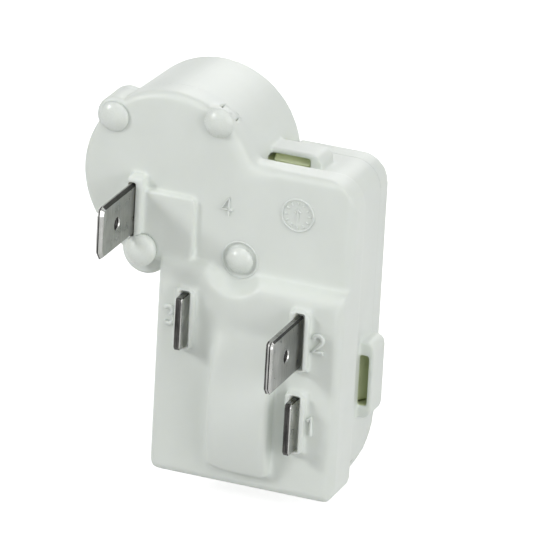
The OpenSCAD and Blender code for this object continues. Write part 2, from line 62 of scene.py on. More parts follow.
# %% The drawing corner
MM = 0.001
BODY_W = 22.75
BODY_D = 17.4
STEP = 2.1
RIM_D = 5.5
SEAM_D = 15.0
DRUM_X, DRUM_Z = 0.0, 34.7
TAB_T = 0.8
TAB_W = 6.35
cover_low, cover_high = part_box("front_cover")
rear_low, rear_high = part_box("rear_cover")
CORNER = Vector((cover_high.x - BODY_W * MM, rear_high.y - BODY_D * MM, cover_low.z))


def at(x, y, z):
    return CORNER + Vector((x, y, z)) * MM


print("corner", [round(v / MM, 3) for v in CORNER])

# %% [markdown]
# The photograph was taken with a long lens, a little from the right and from above, and the
# relay leans by three degrees in the frame. The camera below was fitted to the corners of the
# block, the rims and the tabs, so a render can be laid over the photograph.

# %% Camera
AZIMUTH = math.radians(20.85)
ELEVATION = math.radians(21.63)
ROLL = math.radians(3.18)
PIXELS_PER_MM = 8.713
DISTANCE = 827.0
FRAME_PX = 550
CORNER_PX = (147.17, 468.85)

sin_a, cos_a = math.sin(AZIMUTH), math.cos(AZIMUTH)
sin_e, cos_e = math.sin(ELEVATION), math.cos(ELEVATION)
level_right = Vector((cos_a, sin_a, 0))
level_down = Vector((sin_a * sin_e, -cos_a * sin_e, -cos_e))
view = Vector((-sin_a * cos_e, cos_a * cos_e, -sin_e))
right = math.cos(ROLL) * level_right - math.sin(ROLL) * level_down
down = math.sin(ROLL) * level_right + math.cos(ROLL) * level_down
shift_right = (CORNER_PX[0] - FRAME_PX / 2) / PIXELS_PER_MM
shift_down = (CORNER_PX[1] - FRAME_PX / 2) / PIXELS_PER_MM
eye = CORNER + (-DISTANCE * view - shift_right * right - shift_down * down) * MM

camera = bpy.data.objects.new("camera", bpy.data.cameras.new("camera"))
SCENE.collection.objects.link(camera)
camera.data.sensor_width = 36
camera.data.lens = PIXELS_PER_MM * DISTANCE / FRAME_PX * camera.data.sensor_width
camera.data.clip_start = 0.05
camera.data.clip_end = 10
camera.matrix_world = Matrix((
    (right.x, -down.x, -view.x, eye.x),
    (right.y, -down.y, -view.y, eye.y),
    (right.z, -down.z, -view.z, eye.z),
    (0, 0, 0, 1)))
SCENE.camera = camera
print("lens", round(camera.data.lens, 1), "mm")

# %% [markdown]
# Effects that several finishes share are node groups. A small wrapper keeps each tree readable:
# it adds a node, sets its plain values and links what is given as a socket.

# %% Helpers for node trees


def node(tree, kind, values=None, links=None, **settings):
    made = tree.nodes.new(kind)
    for name, value in settings.items():
        setattr(made, name, value)
    for name, value in (values or {}).items():
        made.inputs[name].default_value = value
    for name, socket in (links or {}).items():
        tree.links.new(socket, made.inputs[name])
    return made


def group_tree(name, inputs, outputs):
    tree = bpy.data.node_groups.new(name, "ShaderNodeTree")
    for label, value in inputs.items():
        socket = tree.interface.new_socket(label, in_out="INPUT", socket_type="NodeSocketFloat")
        socket.default_value = value
    for label, socket_type in outputs.items():
        tree.interface.new_socket(label, in_out="OUTPUT", socket_type=socket_type)
    return tree, node(tree, "NodeGroupInput"), node(tree, "NodeGroupOutput")


def math_node(tree, operation, first, second):
    made = node(tree, "ShaderNodeMath", operation=operation)
    for index, value in enumerate((first, second)):
        if isinstance(value, (int, float)):
            made.inputs[index].default_value = value
        else:
            tree.links.new(value, made.inputs[index])
    return made.outputs[0]


# %% [markdown]
# A moulded face is never quite even. Three things are mixed here: the fine satin grain that the
# mould's steel leaves, slow waves where the wall shrank while it cooled, and cloudy patches of
# slightly different white.

# %% Shared effect: moulded skin
skin, skin_in, skin_out = group_tree(
    "moulded_skin",
    {"Grain size": 0.12, "Wave size": 3.0},
    {"Height": "NodeSocketFloat", "Cloud": "NodeSocketFloat", "Grain": "NodeSocketFloat"})
skin_place = node(skin, "ShaderNodeTexCoord").outputs["Object"]
grain_scale = math_node(skin, "DIVIDE", 1 / MM, skin_in.outputs["Grain size"])
wave_scale = math_node(skin, "DIVIDE", 1 / MM, skin_in.outputs["Wave size"])
grain = node(skin, "ShaderNodeTexNoise", {"Detail": 2.0, "Roughness": 0.6},
             {"Vector": skin_place, "Scale": grain_scale})
wave = node(skin, "ShaderNodeTexNoise", {"Detail": 1.0},
            {"Vector": skin_place, "Scale": wave_scale})
cloud = node(skin, "ShaderNodeTexNoise", {"Scale": 130.0, "Detail": 3.0, "Roughness": 0.55},
             {"Vector": skin_place})
fine = math_node(skin, "MULTIPLY", grain.outputs["Fac"], 0.12)
slow = math_node(skin, "MULTIPLY", wave.outputs["Fac"], 1.0)
skin.links.new(math_node(skin, "ADD", fine, slow), skin_out.inputs["Height"])
skin.links.new(cloud.outputs["Fac"], skin_out.inputs["Cloud"])
skin.links.new(grain.outputs["Fac"], skin_out.inputs["Grain"])

# %% [markdown]
# Strip metal is rolled, and the rolls leave lines along it. The same stretched noise drives the
# height of the lines and how dull the plating is, and a slower one gives its stains.

# %% Shared effect: rolled strip
rolled, rolled_in, rolled_out = group_tree(
    "rolled_strip",
    {"Line width": 0.08, "Line length": 4.0, "Stain size": 1.6},
    {"Lines": "NodeSocketFloat", "Stain": "NodeSocketFloat"})
rolled_place = node(rolled, "ShaderNodeTexCoord").outputs["Object"]
across = math_node(rolled, "DIVIDE", 1 / MM, rolled_in.outputs["Line width"])
along = math_node(rolled, "DIVIDE", 1 / MM, rolled_in.outputs["Line length"])
stretch = node(rolled, "ShaderNodeCombineXYZ", None, {"X": across, "Y": across, "Z": along})
stretched = node(rolled, "ShaderNodeVectorMath", None,
                 {0: rolled_place, 1: stretch.outputs[0]}, operation="MULTIPLY")
lines = node(rolled, "ShaderNodeTexNoise", {"Scale": 1.0, "Detail": 3.0, "Roughness": 0.65},
             {"Vector": stretched.outputs[0]})
stain_scale = math_node(rolled, "DIVIDE", 1 / MM, rolled_in.outputs["Stain size"])
stain = node(rolled, "ShaderNodeTexNoise", {"Detail": 4.0, "Roughness": 0.6},
             {"Vector": rolled_place, "Scale": stain_scale})
rolled.links.new(lines.outputs["Fac"], rolled_out.inputs["Lines"])
rolled.links.new(stain.outputs["Fac"], rolled_out.inputs["Stain"])

# %% [markdown]
# A few dark specks sit in and on the white plastic: carbon from the mould, dust from handling.
# Voronoi cells give one point each, and only the cells whose random colour is high keep theirs.

# %% Shared effect: specks
specks, specks_in, specks_out = group_tree(
    "specks", {"Spacing": 2.2, "Speck radius": 0.07, "Share": 0.12}, {"Mask": "NodeSocketFloat"})
specks_place = node(specks, "ShaderNodeTexCoord").outputs["Object"]
cell_scale = math_node(specks, "DIVIDE", 1 / MM, specks_in.outputs["Spacing"])
cells = node(specks, "ShaderNodeTexVoronoi", None, {"Vector": specks_place, "Scale": cell_scale})
reach = math_node(specks, "DIVIDE", specks_in.outputs["Speck radius"], specks_in.outputs["Spacing"])
inside = math_node(specks, "LESS_THAN", cells.outputs["Distance"], reach)
chance = node(specks, "ShaderNodeSeparateColor", None, {"Color": cells.outputs["Color"]})
chosen = math_node(specks, "LESS_THAN", chance.outputs["Red"], specks_in.outputs["Share"])
specks.links.new(math_node(specks, "MULTIPLY", inside, chosen), specks_out.inputs["Mask"])

# %% [markdown]
# Inside the two latch loops the light has gone through the plastic several times, and the white
# looks olive there: this shade is painted into the base colour. The mask below is one inside a box
# given by its middle and half sizes, and fades over a fraction of a millimetre outside it.

# %% Shared effect: painted shade inside the latch loops
window_shade_mask, window_in, window_out = group_tree(
    "window_painted_shade",
    {"Middle X": 0.0, "Middle Y": 0.0, "Middle Z": 0.0, "Half X": 1.0, "Half Y": 1.0, "Half Z": 1.0,
     "Fade": 0.1},
    {"Mask": "NodeSocketFloat"})
window_place = node(window_shade_mask, "ShaderNodeTexCoord").outputs["Object"]
window_axes = node(window_shade_mask, "ShaderNodeSeparateXYZ", None, {"Vector": window_place})
outside = None
for axis in "XYZ":
    offset = math_node(window_shade_mask, "SUBTRACT", window_axes.outputs[axis],
                       window_in.outputs["Middle " + axis])
    beyond = math_node(window_shade_mask, "SUBTRACT", math_node(window_shade_mask, "ABSOLUTE", offset, 0),
                       window_in.outputs["Half " + axis])
    outside = beyond if outside is None else math_node(window_shade_mask, "MAXIMUM", outside, beyond)
faded = node(window_shade_mask, "ShaderNodeMapRange", {"From Min": 0.0, "To Min": 1.0, "To Max": 0.0},
             {"Value": outside, "From Max": window_in.outputs["Fade"]})
window_shade_mask.links.new(faded.outputs["Result"], window_out.inputs["Mask"])

# %% [markdown]
# Every finish is one function: a Principled shader, a base colour that wanders between two
# tints, a roughness that follows the same pattern, and a bump of real height.

# %% Finishes


def finish_base(name, metallic, roughness_at_rest):
    made = bpy.data.materials.new(name)
    made.use_nodes = True
    tree = made.node_tree
    tree.nodes.clear()
    shader = node(tree, "ShaderNodeBsdfPrincipled",
                  {"Metallic": metallic, "Roughness": roughness_at_rest})
    node(tree, "ShaderNodeOutputMaterial", None, {"Surface": shader.outputs[0]})
    return made, tree, shader


def placed_group(tree, source, values):
    made = node(tree, "ShaderNodeGroup", node_tree=source)
    for name, value in values.items():
        made.inputs[name].default_value = value
    return made


def two_tints(tree, mask, dark, light, low=0.3, high=0.7):
    ramp = node(tree, "ShaderNodeValToRGB", None, {"Fac": mask})
    ramp.color_ramp.elements[0].position = low
    ramp.color_ramp.elements[0].color = (*dark, 1)
    ramp.color_ramp.elements[1].position = high
    ramp.color_ramp.elements[1].color = (*light, 1)
    return ramp.outputs["Color"]


def ranged(tree, mask, low, high):
    made = node(tree, "ShaderNodeMapRange",
                {"From Min": 0.3, "From Max": 0.7, "To Min": low, "To Max": high}, {"Value": mask})
    return made.outputs["Result"]


def bumped(tree, shader, height, depth_mm, strength=1.0):
    bump = node(tree, "ShaderNodeBump", {"Strength": strength, "Distance": depth_mm * MM},
                {"Height": height})
    tree.links.new(bump.outputs[0], shader.inputs["Normal"])


SPECK = (0.25, 0.22, 0.18)
# How far light goes into milky plastic, and the shares of red, green and blue
MILKY_MM, MILKY_SHARES = 1.2, (1.0, 0.95, 0.7)


def moulded_plastic(name, dark, light, dull, gloss, depth_mm=0.02, milky=0.0):
    made, tree, shader = finish_base(name, 0, dull)
    shader.inputs["Subsurface Weight"].default_value = milky
    shader.inputs["Subsurface Radius"].default_value = MILKY_SHARES
    shader.inputs["Subsurface Scale"].default_value = MILKY_MM * MM
    surface = placed_group(tree, skin, {"Grain size": 0.11, "Wave size": 2.6})
    dots = placed_group(tree, specks, {})
    tint = two_tints(tree, surface.outputs["Cloud"], dark, light)
    spotted = node(tree, "ShaderNodeMix", None, {0: dots.outputs["Mask"], 6: tint},
                   data_type="RGBA")
    spotted.inputs[7].default_value = (*SPECK, 1)
    tree.links.new(spotted.outputs[2], shader.inputs["Base Color"])
    tree.links.new(ranged(tree, surface.outputs["Grain"], gloss, dull), shader.inputs["Roughness"])
    bumped(tree, shader, surface.outputs["Height"], depth_mm)
    return made


def painted_root_shade(tree, colour, tip_mm, root_mm, at_tip, at_root):
    """A colour times a factor that goes from one value at a tab's tip to another at its root:
    painted shade towards the root, painted reflection towards the tip.
    """
    place = node(tree, "ShaderNodeTexCoord").outputs["Object"]
    axes = node(tree, "ShaderNodeSeparateXYZ", None, {"Vector": place})
    shade = node(tree, "ShaderNodeMapRange",
                 {"From Min": at(0, tip_mm, 0).y, "From Max": at(0, root_mm, 0).y,
                  "To Min": at_tip, "To Max": at_root}, {"Value": axes.outputs["Y"]})
    mixed = node(tree, "ShaderNodeMix", {0: 1.0}, {6: colour, 7: shade.outputs["Result"]},
                 data_type="RGBA", blend_type="MULTIPLY")
    return mixed.outputs[2]


def strip_metal(name, dark, light, gloss, dull, depth_mm=0.004, root=None):
    made, tree, shader = finish_base(name, 1, dull)
    surface = placed_group(tree, rolled, {})
    line_part = math_node(tree, "MULTIPLY", surface.outputs["Lines"], 0.6)
    stain_part = math_node(tree, "MULTIPLY", surface.outputs["Stain"], 0.4)
    blend = math_node(tree, "ADD", line_part, stain_part)
    colour = two_tints(tree, blend, dark, light, 0.4, 0.6)
    # Painted shade at a tab's root and painted reflection at its tip
    if root:
        colour = painted_root_shade(tree, colour, *root)
    tree.links.new(colour, shader.inputs["Base Color"])
    tree.links.new(ranged(tree, surface.outputs["Stain"], gloss, dull), shader.inputs["Roughness"])
    bumped(tree, shader, surface.outputs["Lines"], depth_mm)
    return made


def paint_window_shade(made, shade_colour, *boxes):
    """Mixes the painted olive shade of the loops' insides into a plastic's base colour."""
    tree = made.node_tree
    shader = [n for n in tree.nodes if n.type == "BSDF_PRINCIPLED"][0]
    colour = shader.inputs["Base Color"].links[0].from_socket
    for low, high in boxes:
        middle = (at(*low) + at(*high)) / 2
        half = (at(*high) - at(*low)) / 2
        values = {"Fade": 0.12 * MM}
        for axis, m, h in zip("XYZ", middle, half):
            values["Middle " + axis] = m
            values["Half " + axis] = h
        # Mask of the painted shade in this box
        depth = placed_group(tree, window_shade_mask, values)
        mixed = node(tree, "ShaderNodeMix", None, {0: depth.outputs["Mask"], 6: colour},
                     data_type="RGBA")
        mixed.inputs[7].default_value = (*shade_colour, 1)
        colour = mixed.outputs[2]
    tree.links.new(colour, shader.inputs["Base Color"])


WHITE_TINTS = (0.730, 0.765, 0.718), (0.760, 0.796, 0.750)
WHITE = moulded_plastic("white_plastic", *WHITE_TINTS, 0.50, 0.36, milky=0.2)
MELTED_WHITE = moulded_plastic("melted_white", *WHITE_TINTS, 0.34, 0.24, milky=0.2)
# Two corners of each loop's inside, and the olive shade painted there
TOP_WINDOW, TOP_PAINTED_SHADE = ((9.2, 8.7, 36.6), (14.5, 13.5, 37.85)), (0.76, 0.81, 0.54)
SIDE_WINDOW, SIDE_PAINTED_SHADE = ((20.8, 11.5, 8.1), (22.05, 15.2, 14.3)), (0.56, 0.61, 0.38)
paint_window_shade(WHITE, TOP_PAINTED_SHADE, TOP_WINDOW)
paint_window_shade(WHITE, SIDE_PAINTED_SHADE, SIDE_WINDOW)
BROWN = moulded_plastic("brown_plastic", (0.050, 0.030, 0.020), (0.075, 0.045, 0.030), 0.55, 0.40)
# Painted shade towards a tab's root and painted reflection towards its tip: place of tip and root
# in millimetres along y, and the colour's factor at each
TAB_PAINTED_SHADE, LINE_PAINTED_SHADE = (-9.0, 1.5, 1.1, 0.6), (-8.6, 2.0, 1.2, 0.7)
TIN_PAINTED_ROOT_SHADE = strip_metal("tinned_brass", (0.23, 0.233, 0.224), (0.38, 0.383, 0.37), 0.24, 0.40,
                  root=TAB_PAINTED_SHADE)
# A lighter copy of the tinned brass for the line tab, as painted reflection of the white plate
# beside it, with its own painted root shade
TIN_LINE_PAINTED_LIGHT = strip_metal("tinned_line_tab_painted_light", (0.30, 0.303, 0.29), (0.47, 0.473, 0.455), 0.24, 0.40,
                       root=LINE_PAINTED_SHADE)
# A lighter copy of the tinned brass for the short tabs in the block's slots: painted light
TIN_SHORT_PAINTED_LIGHT = strip_metal("tinned_short_tab_painted_light", (0.40, 0.405, 0.39), (0.62, 0.625, 0.605), 0.24, 0.40)
# Cut edges, near black: partly bare sheared metal, partly painted shade
TIN_CUT_AND_PAINTED_SHADE = strip_metal("tinned_cut_edge_painted_shade", (0.02, 0.02, 0.019), (0.09, 0.088, 0.085), 0.30, 0.50,
                      depth_mm=0.02)
# Coined slopes of the edges, lighter: partly burnished metal, partly painted light on the lit
# slopes
TIN_COINED_AND_PAINTED_LIGHT = strip_metal("tinned_coined_edge_painted_light", (0.30, 0.303, 0.29), (0.44, 0.443, 0.425), 0.16,
                         0.32)
# A painted highlight: a near white copy of the tin on two corners at the tip of each tab
TIN_PAINTED_HIGHLIGHT = strip_metal("tinned_painted_highlight_corner", (0.70, 0.70, 0.68), (0.85, 0.85, 0.83), 0.14, 0.24)
BRASS = strip_metal("brass", (0.52, 0.36, 0.12), (0.68, 0.50, 0.20), 0.22, 0.40)
STEEL = strip_metal("spring_steel", (0.28, 0.29, 0.30), (0.42, 0.43, 0.44), 0.22, 0.38)
SILVER = strip_metal("contact_silver", (0.62, 0.61, 0.58), (0.80, 0.79, 0.76), 0.25, 0.45)
BIMETAL = strip_metal("bimetal", (0.40, 0.33, 0.25), (0.56, 0.48, 0.38), 0.28, 0.45)
HEATER = strip_metal("heater_wire", (0.12, 0.11, 0.10), (0.26, 0.24, 0.22), 0.40, 0.62)
CERAMIC = moulded_plastic("ceramic", (0.15, 0.14, 0.135), (0.20, 0.19, 0.18), 0.75, 0.60)
print("finishes", len(bpy.data.materials))

# %% [markdown]
# Most pieces inside have the right shape as they come from the model: they only need their
# finish. The record says which slot each node has.

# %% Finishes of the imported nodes
BY_SLOT = {
    "white_plastic": WHITE, "brown_plastic": BROWN, "tinned_brass": TIN_PAINTED_ROOT_SHADE, "brass": BRASS,
    "spring_steel": STEEL, "contact_silver": SILVER, "bimetal": BIMETAL, "heater_wire": HEATER,
    "ceramic": CERAMIC}
SLOT_OF = {part["node"]: part["material_slot"] for part in frame["record"]["subparts"]}
for name, obj in NODES.items():
    finish = BY_SLOT[SLOT_OF[name]]
    obj.data.materials.clear()
    obj.data.materials.append(finish)
print("nodes dressed", len(NODES))

# %% [markdown]
# The four tabs leave the cover through close slots. Their places along x and the reach of their
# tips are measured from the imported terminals.

# %% Places of the tabs
start_low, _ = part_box("start_terminal")
run_low, run_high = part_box("run_terminal")
line_low, line_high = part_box("overload_terminal")
start_x = (start_low.x - CORNER.x) / MM
run_x = (run_high.x - CORNER.x) / MM - TAB_T
line_x = (line_high.x - CORNER.x) / MM - TAB_T
start_tip = (start_low.y - CORNER.y) / MM
run_tip = (run_low.y - CORNER.y) / MM
line_tip = (line_low.y - CORNER.y) / MM
# Their lower edges
TAB_Z = 16.325
LOW_TAB_Z = 6.3
LINE_TAB_Z = 27.85
TABS = [(start_x, TAB_Z), (run_x, TAB_Z), (run_x, LOW_TAB_Z), (line_x, LINE_TAB_Z)]
print("tab tips", [round(tip, 2) for tip in (start_tip, run_tip, line_tip)])

# %% [markdown]
# A moulding has no sharp corner anywhere: every edge is rounded and every foot runs out in a
# small fillet. Bevelling a solid with hundreds of cut faces seldom works, so each moulding is
# a copy of its node whose loose triangles are merged, then wrapped in a fine, even skin (a
# voxel remesh), relaxed, so that corners and feet soften alike, and thinned where it is flat.
# Two more rounds of relaxing reach only the surface near given lines, where the real edge is
# melted or runs out further.

# %% Wrapping a moulding


def linked(name, data):
    obj = bpy.data.objects.new(name, data)
    SCENE.collection.objects.link(obj)
    return obj


def evaluated_mesh(obj):
    graph = bpy.context.evaluated_depsgraph_get()
    return bpy.data.meshes.new_from_object(obj.evaluated_get(graph))


def triangles(mesh):
    return sum(len(polygon.vertices) - 2 for polygon in mesh.polygons)


def place_of(vert):
    return (vert.co - CORNER) / MM


def carved(mesh, cutters):
    """The mesh less the closed bodies that cutters puts into a shell."""
    tool_mesh = bpy.data.meshes.new("cutters")
    shell = bmesh.new()
    cutters(shell)
    bmesh.ops.recalc_face_normals(shell, faces=shell.faces)
    shell.to_mesh(tool_mesh)
    shell.free()
    tool = linked("cutters", tool_mesh)
    blank = linked("blank", mesh)
    cut = blank.modifiers.new("carve", "BOOLEAN")
    cut.operation = "DIFFERENCE"
    cut.solver = "EXACT"
    cut.object = tool
    result = evaluated_mesh(blank)
    bpy.data.objects.remove(tool)
    bpy.data.objects.remove(blank)
    return result


def merged_copy(node_name, shape=None, cutters=None):
    """A copy of a node as one mesh, with the cutters taken off and shape applied to it."""
    mesh = NODES[node_name].data.copy()
    shell = bmesh.new()
    shell.from_mesh(mesh)
    bmesh.ops.remove_doubles(shell, verts=shell.verts, dist=0.001 * MM)
    if cutters:
        shell.to_mesh(mesh)
        mesh = carved(mesh, cutters)
        shell.clear()
        shell.from_mesh(mesh)
    if shape:
        shape(shell)
    shell.to_mesh(mesh)
    shell.free()
    return mesh


def settle(obj, slot, *replaced):
    """Applies the modifiers, hangs the piece under the root body, and hides the nodes named, which
    it replaces.
    """
    mesh = evaluated_mesh(obj)
    obj.modifiers.clear()
    obj.data = mesh
    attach(obj, "root")
    if replaced:
        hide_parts(*replaced)
    print(obj.name, triangles(mesh), "triangles")
    return obj


# Half the width of what stays as it is along a seam, and where the drum's rim lies from its axis
SEAM_HALF = 0.3
RIM_NEAR, RIM_FAR = 9.8, 12.2
# How far the same goes round a slot: left of the tab, below it, and beyond its other two sides
SLOT_LEFT, SLOT_BELOW, SLOT_BEYOND = 0.25, 0.2, 0.6


def keeps_its_edge(place):
    """Where two mouldings meet in one even surface, and at the mouths of the tab slots."""
    from_axis = math.hypot(place.x - DRUM_X, place.z - DRUM_Z)
    on_drum = abs(place.y - RIM_D) < SEAM_HALF and RIM_NEAR < from_axis < RIM_FAR
    on_back = abs(place.y - SEAM_D) < SEAM_HALF
    at_slot = any(-SLOT_LEFT < place.x - x < TAB_T + SLOT_BEYOND
                  and -SLOT_BELOW < place.z - z < TAB_W + SLOT_BEYOND for x, z in TABS)
    return on_drum or on_back or at_slot


def overall(place):
    return 0 if keeps_its_edge(place) else 1


def distance_to_segment(place, start, end):
    start, end = Vector(start), Vector(end)
    span = end - start
    along = max(0, min(1, (place - start).dot(span) / max(span.length_squared, 1e-9)))
    return (place - start - span * along).length


def near_lines(lines):
    """A weight that falls from one to zero between half the given distance and the whole."""
    def weight(place):
        if keeps_its_edge(place):
            return 0
        nearest = min(distance_to_segment(place, start, end) / reach for start, end, reach in lines)
        return max(0, min(1, 2 - 2 * nearest))
    return weight


def relax(obj, name, passes, weight_at):
    group = obj.vertex_groups.new(name=name)
    for vert in obj.data.vertices:
        weight = weight_at(place_of(vert))
        if weight > 0:
            group.add([vert.index], weight, "REPLACE")
    step = obj.modifiers.new(name, "SMOOTH")
    step.factor = 0.5
    step.iterations = passes
    step.vertex_group = group.name


FADE_PASSES = 260


def soft_moulding(node_name, name, voxel_mm, passes, most, melted=(), melt_passes=0, shape=None,
                  cutters=None, faded=()):
    """Wraps a node and relaxes it, with at most the given number of triangles."""
    obj = linked(name, merged_copy(node_name, shape, cutters))
    skin_step = obj.modifiers.new("skin", "REMESH")
    skin_step.mode = "VOXEL"
    skin_step.voxel_size = voxel_mm * MM
    skin_step.use_smooth_shade = True
    skinned = evaluated_mesh(obj)
    obj.modifiers.clear()
    obj.data = skinned
    relax(obj, "relax", passes, overall)
    if melted:
        relax(obj, "melt", melt_passes, near_lines(melted))
    if faded:
        relax(obj, "fade", FADE_PASSES, near_lines(faded))
    thin = obj.modifiers.new("thin", "DECIMATE")
    thin.ratio = min(1, most / triangles(skinned))
    settle(obj, "white_plastic", node_name)
    obj.data.materials.clear()
    obj.data.materials.append(WHITE)
    return obj


# %% [markdown]
# Small forms are worked into the copies before they are wrapped, as closed bodies that the skin
# takes in or as points that are moved. All are built from bands between two rings of points.

# %% Bodies over an outline


def bridge(shell, first, second, material=0):
    """A closed band of faces between two rings with the same number of points."""
    count = len(first)
    made = []
    for i in range(count):
        j = (i + 1) % count
        face = shell.faces.new((first[i], first[j], second[j], second[i]))
        face.material_index = material
        made.append(face)
    return made


def rectangle(front, back, low, high):
    return [(front, low), (back, low), (back, high), (front, high)]


def prism(shell, outline, start, end, upright=False):
    """A closed body along x over an outline in y and z, or upright over one in y and x."""
    if upright:
        ends = [[shell.verts.new(at(x, y, z)) for y, x in outline] for z in (start, end)]
    else:
        ends = [[shell.verts.new(at(x, y, z)) for y, z in outline] for x in (start, end)]
    bridge(shell, *ends)
    shell.faces.new(ends[0])
    shell.faces.new(ends[1][::-1])


def drawn_in(vert, from_axis, start, share):
    """Draws a point outside the drum's radius start in towards the drum's axis."""
    here = place_of(vert)
    pull = (from_axis - start) * share / from_axis
    vert.co.x -= (here.x - DRUM_X) * pull * MM
    vert.co.z -= (here.z - DRUM_Z) * pull * MM


# %% [markdown]
# The cover's three lower slots stand a little open to the right of their tabs and above them,
# down to a floor. A foot fills the corner between the drum's rim and the upper plate. The ear
# round the second post is drawn in towards the drum, and the rim laps over the seam behind it.

# %% What is worked into the cover
BLOCK_TABS = TABS[:3]
ON_FACE = 0.05
MOUTH_FRONT, MOUTH_FLOOR = -2, -0.25
MOUTH_PLAY, OPENED = 0.05, 0.4
PLUG_BEFORE, PLUG_PAST, PLUG_BACK = 0.4, 0.7, 1.4
# The collar right of a slot: its middle from the tab, what counts as near, how much thicker
COLLAR, COLLAR_NEAR, COLLAR_ENDS, THICKER = 0.75, 0.2, 1, 0.15
# The ear: its middle, its reach, the drum's radius there, and how much of it is drawn in
EAR_X, EAR_Z, EAR_REACH, EAR_START = 5.9, 43.0, 3, 10.5
EAR_BACK, DRAWN_AT_BACK, DRAWN_IN_FRONT = 4, 0.9, 0.4
RIM_LAP, LAP_LOW = 0.3, 38.5
FOOT_LEFT, FOOT_RIGHT, FOOT_LOW, FOOT_TOP, FOOT_ROUND = 9.3, 11.8, 36.0, 38.3, 0.9


def slot_mouths(shell):
    for x, z in BLOCK_TABS:
        mouth = rectangle(MOUTH_FRONT, MOUTH_FLOOR, z - MOUTH_PLAY, z + TAB_W + OPENED)
        prism(shell, mouth, x - MOUTH_PLAY, x + TAB_T + OPENED)


def add_foot(shell):
    """Fills the corner between the drum's rim and the upper plate, rounded like its edge."""
    turns = [math.radians(90 * i / 6) for i in range(7)]
    edge = [(STEP + FOOT_ROUND * (1 - math.cos(t)), FOOT_TOP - FOOT_ROUND * (1 - math.sin(t)))
            for t in turns]
    outline = [(RIM_D, FOOT_LOW), (STEP, FOOT_LOW)] + edge + [(RIM_D, FOOT_TOP)]
    prism(shell, outline, FOOT_LEFT, FOOT_RIGHT)


def shape_cover(shell):
    """Closes the slots below their mouths, draws in the ear and laps the rim over its seam."""
    add_foot(shell)
    for x, z in BLOCK_TABS:
        plug = rectangle(MOUTH_FLOOR, PLUG_BACK, z - PLUG_BEFORE, z + TAB_W + PLUG_PAST)
        prism(shell, plug, x - PLUG_BEFORE, x + TAB_T + PLUG_PAST)
    for vert in shell.verts:
        here = place_of(vert)
        from_axis = math.hypot(here.x - DRUM_X, here.z - DRUM_Z)
        if math.hypot(here.x - EAR_X, here.z - EAR_Z) < EAR_REACH and from_axis > EAR_START:
            share = DRAWN_AT_BACK if here.y > EAR_BACK else DRAWN_IN_FRONT
            drawn_in(vert, from_axis, EAR_START, share)
        at_seam = abs(here.y - RIM_D) < ON_FACE and here.z > LAP_LOW
        if at_seam and RIM_NEAR < from_axis < RIM_FAR:
            vert.co.y += RIM_LAP * MM
        for x, z in BLOCK_TABS:
            beside, above = here.x - x - TAB_T, here.z - z - TAB_W
            along_tab = -TAB_W - COLLAR_ENDS < above < COLLAR_ENDS
            if abs(beside - COLLAR) < COLLAR_NEAR and along_tab and here.y < MOUTH_FLOOR:
                vert.co.x += THICKER * MM


# %% [markdown]
# The posts of the housing were melted by hand, so no head is quite like the next. Behind the
# second one the post's side is drawn in to the drum. The rear cover laps over its seam, and its
# two latch tongues get the wedge noses that catch under the loops.

# %% What is worked into the housing and the rear cover
# Middle, growth and rise of the melted heads of the four posts
HEADS = [(-6.9, 41.2, 1.18, 0.1), (5.9, 43.0, 1.08, -0.1), (9.2, 26.9, 1.0, 0.0),
         (-2.5, 26.31, 1.12, -0.1)]
HEAD_REACH = 1.95
# The second post's side: how far from the post's middle, from which radius on and down to which
POST_REACH, POST_START, POST_LIMIT = 1.5, 10.62, 10.4
POST_FRONT = STEP + 0.1
# The top loop's window reaches a little into the drum's wall
WINDOW_CORNER, WINDOW_CORNER_X = rectangle(7.4, 11.5, 36.85, 37.8), (8.9, 10.9)
# The noses: the top one in y and z, the side one in y and x
TOP_NOSE, TOP_NOSE_X = [(8.8, 36.75), (12.4, 36.75), (12.4, 37.7), (9.9, 37.7)], (9.9, 14.4)
SIDE_NOSE, SIDE_NOSE_Z = [(12.2, 20.95), (14.6, 20.95), (14.6, 21.8), (13.4, 21.8)], (8.3, 14.1)
BACK_LAP = 0.25


def on_head(place):
    return any(math.hypot(place.x - x, place.z - z) < HEAD_REACH for x, z, _, _ in HEADS)


def shape_heads(shell):
    for vert in shell.verts:
        here = place_of(vert)
        from_axis = math.hypot(here.x - DRUM_X, here.z - DRUM_Z)
        at_post = math.hypot(here.x - EAR_X, here.z - EAR_Z) < POST_REACH and here.y > POST_FRONT
        if at_post and from_axis > POST_START:
            drawn_in(vert, from_axis, POST_LIMIT, 1)
        for x, z, grow, rise in HEADS:
            across, up = here.x - x, here.z - z
            if math.hypot(across, up) < HEAD_REACH and here.y < STEP:
                vert.co.x += across * (grow - 1) * MM
                vert.co.z += (up * (grow - 1) + rise) * MM


def window_corner(shell):
    prism(shell, WINDOW_CORNER, *WINDOW_CORNER_X)


def shape_tongues(shell):
    for vert in shell.verts:
        if abs(place_of(vert).y - SEAM_D) < ON_FACE:
            vert.co.y -= BACK_LAP * MM
    prism(shell, TOP_NOSE, *TOP_NOSE_X)
    prism(shell, SIDE_NOSE, *SIDE_NOSE_Z, upright=True)


# %% [markdown]
# Each line below has a start, an end and a reach. Along the melted ones the shapes run softly
# into each other, and along the faded ones an edge is lost altogether, as at the left side of
# the bulge. The heads get a finish of their own, because melting leaves them shinier.

